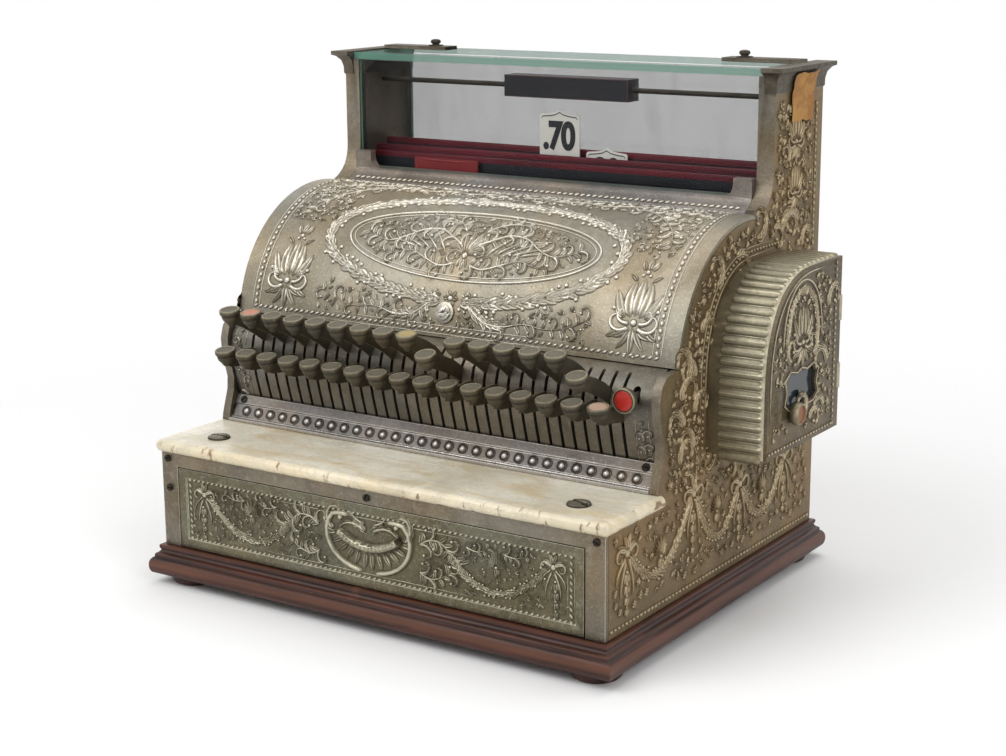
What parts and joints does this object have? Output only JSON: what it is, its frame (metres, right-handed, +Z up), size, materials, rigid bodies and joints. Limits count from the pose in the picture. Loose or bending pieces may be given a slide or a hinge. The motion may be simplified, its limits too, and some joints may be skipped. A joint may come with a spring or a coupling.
{
  "type": "antique ticket register",
  "caption": "Antique nickel-plated counter register with lever keys, a glazed indicator tower, a cash drawer, a curved ornamental lid and a ticket printer box on its right side.",
  "frame": {"origin": "middle of the register's footprint, under the feet", "axes": "+X to the printer box on the register's right, +Y to the rear, +Z up; keys and drawer face -Y"},
  "size_m": [0.5358, 0.3998, 0.4629],
  "materials": {
    "nickel": "worn nickel plate over cast relief",
    "olive_nickel": "tarnished nickel plate",
    "bright_nickel": "bright nickel plate",
    "key_bronze": "darkened brass with a concave cap",
    "salmon_key": "coloured key cap on a brass lever",
    "mahogany": "polished dark mahogany",
    "tray_wood": "bare tray wood",
    "marble": "polished cream marble with stains",
    "glass": "clear plate glass",
    "steel": "turned steel",
    "crimson": "crimson rails over a black board",
    "black": "worn black japan",
    "white_enamel": "white enamel tablet",
    "red_enamel": "red enamel",
    "paper": "paper roll"
  },
  "bodies": {
    "cabinet": {"plinth": "mahogany", "front_frame": "nickel", "left_side": "nickel", "right_side": "olive_nickel", "back_cover": "nickel", "marble_shelf": "marble", "stud_rail": "bright_nickel", "key_comb": "nickel", "key_shaft": "steel", "window_frame": "nickel", "front_glass": "glass", "rear_glass": "glass", "top_glass": "glass", "indicator_rail": "crimson", "printer_cover": "olive_nickel"},
    "drawer": {"drawer_front": "olive_nickel", "drawer_tray": "tray_wood"},
    "lid_body": {"lid": "nickel"},
    "lid_lock_body": {"lid_lock": "bright_nickel"},
    "printer_door_body": {"printer_door": "olive_nickel"},
    "printer_lock_body": {"printer_lock": "bright_nickel"},
    "sign_body": {"sign_bar": "black"},
    "roll_body": {"ticket_roll": "paper"},
    "button_body": {"release_button": "red_enamel"},
    "flag_amount_body": {"flag_amount": "white_enamel"},
    "flag_second_body": {"flag_second": "white_enamel"},
    "flag_credit_body": {"flag_credit": "red_enamel"},
    "key_lower_01_body": {"key_lower_01": "key_bronze"},
    "key_lower_02_body": {"key_lower_02": "key_bronze"},
    "key_lower_03_body": {"key_lower_03": "key_bronze"},
    "key_lower_04_body": {"key_lower_04": "key_bronze"},
    "key_lower_05_body": {"key_lower_05": "key_bronze"},
    "key_lower_06_body": {"key_lower_06": "key_bronze"},
    "key_lower_07_body": {"key_lower_07": "key_bronze"},
    "key_lower_08_body": {"key_lower_08": "key_bronze"},
    "key_lower_09_body": {"key_lower_09": "key_bronze"},
    "key_lower_10_body": {"key_lower_10": "key_bronze"},
    "key_lower_11_body": {"key_lower_11": "key_bronze"},
    "key_lower_12_body": {"key_lower_12": "key_bronze"},
    "key_lower_13_body": {"key_lower_13": "key_bronze"},
    "key_lower_14_body": {"key_lower_14": "key_bronze"},
    "key_lower_15_body": {"key_lower_15": "key_bronze"},
    "key_lower_16_body": {"key_lower_16": "key_bronze"},
    "key_lower_17_body": {"key_lower_17": "salmon_key"},
    "key_upper_01_body": {"key_upper_01": "key_bronze"},
    "key_upper_02_body": {"key_upper_02": "salmon_key"},
    "key_upper_03_body": {"key_upper_03": "key_bronze"},
    "key_upper_04_body": {"key_upper_04": "key_bronze"},
    "key_upper_05_body": {"key_upper_05": "key_bronze"},
    "key_upper_06_body": {"key_upper_06": "key_bronze"},
    "key_upper_07_body": {"key_upper_07": "key_bronze"},
    "key_upper_08_body": {"key_upper_08": "key_bronze"},
    "key_upper_09_body": {"key_upper_09": "key_bronze"},
    "key_upper_10_body": {"key_upper_10": "key_bronze"},
    "key_upper_11_body": {"key_upper_11": "key_bronze"},
    "key_upper_12_body": {"key_upper_12": "key_bronze"},
    "key_upper_13_body": {"key_upper_13": "key_bronze"},
    "key_upper_14_body": {"key_upper_14": "key_bronze"},
    "key_upper_15_body": {"key_upper_15": "key_bronze"},
    "key_upper_16_body": {"key_upper_16": "key_bronze"}
  },
  "joints": [
    {"name": "key_lower_01_hinge", "type": "hinge", "parent": "cabinet", "child": "key_lower_01_body", "pos_m": [-0.22185, -0.0162, 0.166], "axis": [1, 0, 0], "range_deg": [0, 5.6], "stiffness_Nm_per_rad": 1, "springref_deg": -5.73},
    {"name": "key_lower_02_hinge", "type": "hinge", "parent": "cabinet", "child": "key_lower_02_body", "pos_m": [-0.19759, -0.0162, 0.166], "axis": [1, 0, 0], "range_deg": [0, 5.6], "stiffness_Nm_per_rad": 1, "springref_deg": -5.73},
    {"name": "key_lower_03_hinge", "type": "hinge", "parent": "cabinet", "child": "key_lower_03_body", "pos_m": [-0.17333, -0.0162, 0.166], "axis": [1, 0, 0], "range_deg": [0, 5.6], "stiffness_Nm_per_rad": 1, "springref_deg": -5.73},
    {"name": "key_lower_04_hinge", "type": "hinge", "parent": "cabinet", "child": "key_lower_04_body", "pos_m": [-0.14907, -0.0162, 0.166], "axis": [1, 0, 0], "range_deg": [0, 5.6], "stiffness_Nm_per_rad": 1, "springref_deg": -5.73},
    {"name": "key_lower_05_hinge", "type": "hinge", "parent": "cabinet", "child": "key_lower_05_body", "pos_m": [-0.12481, -0.0162, 0.166], "axis": [1, 0, 0], "range_deg": [0, 5.6], "stiffness_Nm_per_rad": 1, "springref_deg": -5.73},
    {"name": "key_lower_06_hinge", "type": "hinge", "parent": "cabinet", "child": "key_lower_06_body", "pos_m": [-0.10055, -0.0162, 0.166], "axis": [1, 0, 0], "range_deg": [0, 5.6], "stiffness_Nm_per_rad": 1, "springref_deg": -5.73},
    {"name": "key_lower_07_hinge", "type": "hinge", "parent": "cabinet", "child": "key_lower_07_body", "pos_m": [-0.07629, -0.0162, 0.166], "axis": [1, 0, 0], "range_deg": [0, 5.6], "stiffness_Nm_per_rad": 1, "springref_deg": -5.73},
    {"name": "key_lower_08_hinge", "type": "hinge", "parent": "cabinet", "child": "key_lower_08_body", "pos_m": [-0.05203, -0.0162, 0.166], "axis": [1, 0, 0], "range_deg": [0, 5.6], "stiffness_Nm_per_rad": 1, "springref_deg": -5.73},
    {"name": "key_lower_09_hinge", "type": "hinge", "parent": "cabinet", "child": "key_lower_09_body", "pos_m": [-0.02777, -0.0162, 0.166], "axis": [1, 0, 0], "range_deg": [0, 5.6], "stiffness_Nm_per_rad": 1, "springref_deg": -5.73},
    {"name": "key_lower_10_hinge", "type": "hinge", "parent": "cabinet", "child": "key_lower_10_body", "pos_m": [-0.0035, -0.0162, 0.166], "axis": [1, 0, 0], "range_deg": [0, 5.6], "stiffness_Nm_per_rad": 1, "springref_deg": -5.73},
    {"name": "key_lower_11_hinge", "type": "hinge", "parent": "cabinet", "child": "key_lower_11_body", "pos_m": [0.02076, -0.0162, 0.166], "axis": [1, 0, 0], "range_deg": [0, 5.6], "stiffness_Nm_per_rad": 1, "springref_deg": -5.73},
    {"name": "key_lower_12_hinge", "type": "hinge", "parent": "cabinet", "child": "key_lower_12_body", "pos_m": [0.04502, -0.0162, 0.166], "axis": [1, 0, 0], "range_deg": [0, 5.6], "stiffness_Nm_per_rad": 1, "springref_deg": -5.73},
    {"name": "key_lower_13_hinge", "type": "hinge", "parent": "cabinet", "child": "key_lower_13_body", "pos_m": [0.06928, -0.0162, 0.166], "axis": [1, 0, 0], "range_deg": [0, 5.6], "stiffness_Nm_per_rad": 1, "springref_deg": -5.73},
    {"name": "key_lower_14_hinge", "type": "hinge", "parent": "cabinet", "child": "key_lower_14_body", "pos_m": [0.09354, -0.0162, 0.166], "axis": [1, 0, 0], "range_deg": [0, 5.6], "stiffness_Nm_per_rad": 1, "springref_deg": -5.73},
    {"name": "key_lower_15_hinge", "type": "hinge", "parent": "cabinet", "child": "key_lower_15_body", "pos_m": [0.1178, -0.0162, 0.166], "axis": [1, 0, 0], "range_deg": [0, 5.6], "stiffness_Nm_per_rad": 1, "springref_deg": -5.73},
    {"name": "key_lower_16_hinge", "type": "hinge", "parent": "cabinet", "child": "key_lower_16_body", "pos_m": [0.14206, -0.0162, 0.166], "axis": [1, 0, 0], "range_deg": [0, 5.6], "stiffness_Nm_per_rad": 1, "springref_deg": -5.73},
    {"name": "key_lower_17_hinge", "type": "hinge", "parent": "cabinet", "child": "key_lower_17_body", "pos_m": [0.16632, -0.0162, 0.166], "axis": [1, 0, 0], "range_deg": [0, 5.6], "stiffness_Nm_per_rad": 1, "springref_deg": -5.73},
    {"name": "key_upper_01_hinge", "type": "hinge", "parent": "cabinet", "child": "key_upper_01_body", "pos_m": [-0.20972, -0.0162, 0.166], "axis": [1, 0, 0], "range_deg": [0, 5.6], "stiffness_Nm_per_rad": 1, "springref_deg": -5.73},
    {"name": "key_upper_02_hinge", "type": "hinge", "parent": "cabinet", "child": "key_upper_02_body", "pos_m": [-0.18546, -0.0162, 0.166], "axis": [1, 0, 0], "range_deg": [0, 5.6], "stiffness_Nm_per_rad": 1, "springref_deg": -5.73},
    {"name": "key_upper_03_hinge", "type": "hinge", "parent": "cabinet", "child": "key_upper_03_body", "pos_m": [-0.1612, -0.0162, 0.166], "axis": [1, 0, 0], "range_deg": [0, 5.6], "stiffness_Nm_per_rad": 1, "springref_deg": -5.73},
    {"name": "key_upper_04_hinge", "type": "hinge", "parent": "cabinet", "child": "key_upper_04_body", "pos_m": [-0.13694, -0.0162, 0.166], "axis": [1, 0, 0], "range_deg": [0, 5.6], "stiffness_Nm_per_rad": 1, "springref_deg": -5.73},
    {"name": "key_upper_05_hinge", "type": "hinge", "parent": "cabinet", "child": "key_upper_05_body", "pos_m": [-0.11268, -0.0162, 0.166], "axis": [1, 0, 0], "range_deg": [0, 5.6], "stiffness_Nm_per_rad": 1, "springref_deg": -5.73},
    {"name": "key_upper_06_hinge", "type": "hinge", "parent": "cabinet", "child": "key_upper_06_body", "pos_m": [-0.08842, -0.0162, 0.166], "axis": [1, 0, 0], "range_deg": [0, 5.6], "stiffness_Nm_per_rad": 1, "springref_deg": -5.73},
    {"name": "key_upper_07_hinge", "type": "hinge", "parent": "cabinet", "child": "key_upper_07_body", "pos_m": [-0.06416, -0.0162, 0.166], "axis": [1, 0, 0], "range_deg": [0, 5.6], "stiffness_Nm_per_rad": 1, "springref_deg": -5.73},
    {"name": "key_upper_08_hinge", "type": "hinge", "parent": "cabinet", "child": "key_upper_08_body", "pos_m": [-0.03989, -0.0162, 0.166], "axis": [1, 0, 0], "range_deg": [0, 5.6], "stiffness_Nm_per_rad": 1, "springref_deg": -5.73},
    {"name": "key_upper_09_hinge", "type": "hinge", "parent": "cabinet", "child": "key_upper_09_body", "pos_m": [-0.01563, -0.0162, 0.166], "axis": [1, 0, 0], "range_deg": [0, 5.6], "stiffness_Nm_per_rad": 1, "springref_deg": -5.73},
    {"name": "key_upper_10_hinge", "type": "hinge", "parent": "cabinet", "child": "key_upper_10_body", "pos_m": [0.00863, -0.0162, 0.166], "axis": [1, 0, 0], "range_deg": [-5.6, 0]},
    {"name": "key_upper_11_hinge", "type": "hinge", "parent": "cabinet", "child": "key_upper_11_body", "pos_m": [0.03289, -0.0162, 0.166], "axis": [1, 0, 0], "range_deg": [0, 5.6], "stiffness_Nm_per_rad": 1, "springref_deg": -5.73},
    {"name": "key_upper_12_hinge", "type": "hinge", "parent": "cabinet", "child": "key_upper_12_body", "pos_m": [0.05715, -0.0162, 0.166], "axis": [1, 0, 0], "range_deg": [0, 5.6], "stiffness_Nm_per_rad": 1, "springref_deg": -5.73},
    {"name": "key_upper_13_hinge", "type": "hinge", "parent": "cabinet", "child": "key_upper_13_body", "pos_m": [0.08141, -0.0162, 0.166], "axis": [1, 0, 0], "range_deg": [0, 5.6], "stiffness_Nm_per_rad": 1, "springref_deg": -5.73},
    {"name": "key_upper_14_hinge", "type": "hinge", "parent": "cabinet", "child": "key_upper_14_body", "pos_m": [0.10567, -0.0162, 0.166], "axis": [1, 0, 0], "range_deg": [0, 5.6], "stiffness_Nm_per_rad": 1, "springref_deg": -5.73},
    {"name": "key_upper_15_hinge", "type": "hinge", "parent": "cabinet", "child": "key_upper_15_body", "pos_m": [0.12993, -0.0162, 0.166], "axis": [1, 0, 0], "range_deg": [0, 5.6], "stiffness_Nm_per_rad": 1, "springref_deg": -5.73},
    {"name": "key_upper_16_hinge", "type": "hinge", "parent": "cabinet", "child": "key_upper_16_body", "pos_m": [0.15419, -0.0162, 0.166], "axis": [1, 0, 0], "range_deg": [-5.6, 0]},
    {"name": "drawer_slide", "type": "slide", "parent": "cabinet", "child": "drawer", "axis": [0, -1, 0], "range_m": [0, 0.27]},
    {"name": "lid_hinge", "type": "hinge", "parent": "cabinet", "child": "lid_body", "pos_m": [-0.02615, 0.06598, 0.33621], "axis": [-1, 0, 0], "range_deg": [0, 100]},
    {"name": "lid_lock_turn", "type": "hinge", "parent": "lid_body", "child": "lid_lock_body", "pos_m": [-0.02615, -0.0717, 0.25324], "axis": [0, 0.9516, -0.3074], "range_deg": [0, 90]},
    {"name": "release_slide", "type": "slide", "parent": "cabinet", "child": "button_body", "axis": [0, 1, 0], "range_m": [0, 0.008], "stiffness_N_per_m": 300, "springref_m": -0.004},
    {"name": "printer_door_hinge", "type": "hinge", "parent": "cabinet", "child": "printer_door_body", "pos_m": [0.25735, 0.1163, 0.151], "axis": [0, 0, 1], "range_deg": [0, 100]},
    {"name": "printer_lock_turn", "type": "hinge", "parent": "printer_door_body", "child": "printer_lock_body", "pos_m": [0.25915, 0.0238, 0.182], "axis": [1, 0, 0], "range_deg": [0, 90]},
    {"name": "sign_turn", "type": "hinge", "parent": "cabinet", "child": "sign_body", "pos_m": [-0.03215, 0.1448, 0.42996], "axis": [1, 0, 0], "continuous": true},
    {"name": "roll_turn", "type": "hinge", "parent": "cabinet", "child": "roll_body", "pos_m": [0.21185, 0.0638, 0.243], "axis": [1, 0, 0], "continuous": true},
    {"name": "flag_amount_lift", "type": "slide", "parent": "cabinet", "child": "flag_amount_body", "axis": [0, 0, 1], "range_m": [-0.04, 0]},
    {"name": "flag_second_lift", "type": "slide", "parent": "cabinet", "child": "flag_second_body", "axis": [0, 0, 1], "range_m": [0, 0.033]},
    {"name": "flag_credit_lift", "type": "slide", "parent": "cabinet", "child": "flag_credit_body", "axis": [0, 0, 1], "range_m": [-0.024, 0]}
  ],
  "couplings": [
    {"joint": "flag_amount_lift", "follows": "key_upper_10_hinge", "m_per_rad": 0.4082},
    {"joint": "flag_second_lift", "follows": "key_upper_11_hinge", "m_per_rad": 0.3366},
    {"joint": "flag_credit_lift", "follows": "key_upper_16_hinge", "m_per_rad": 0.2445}
  ]
}
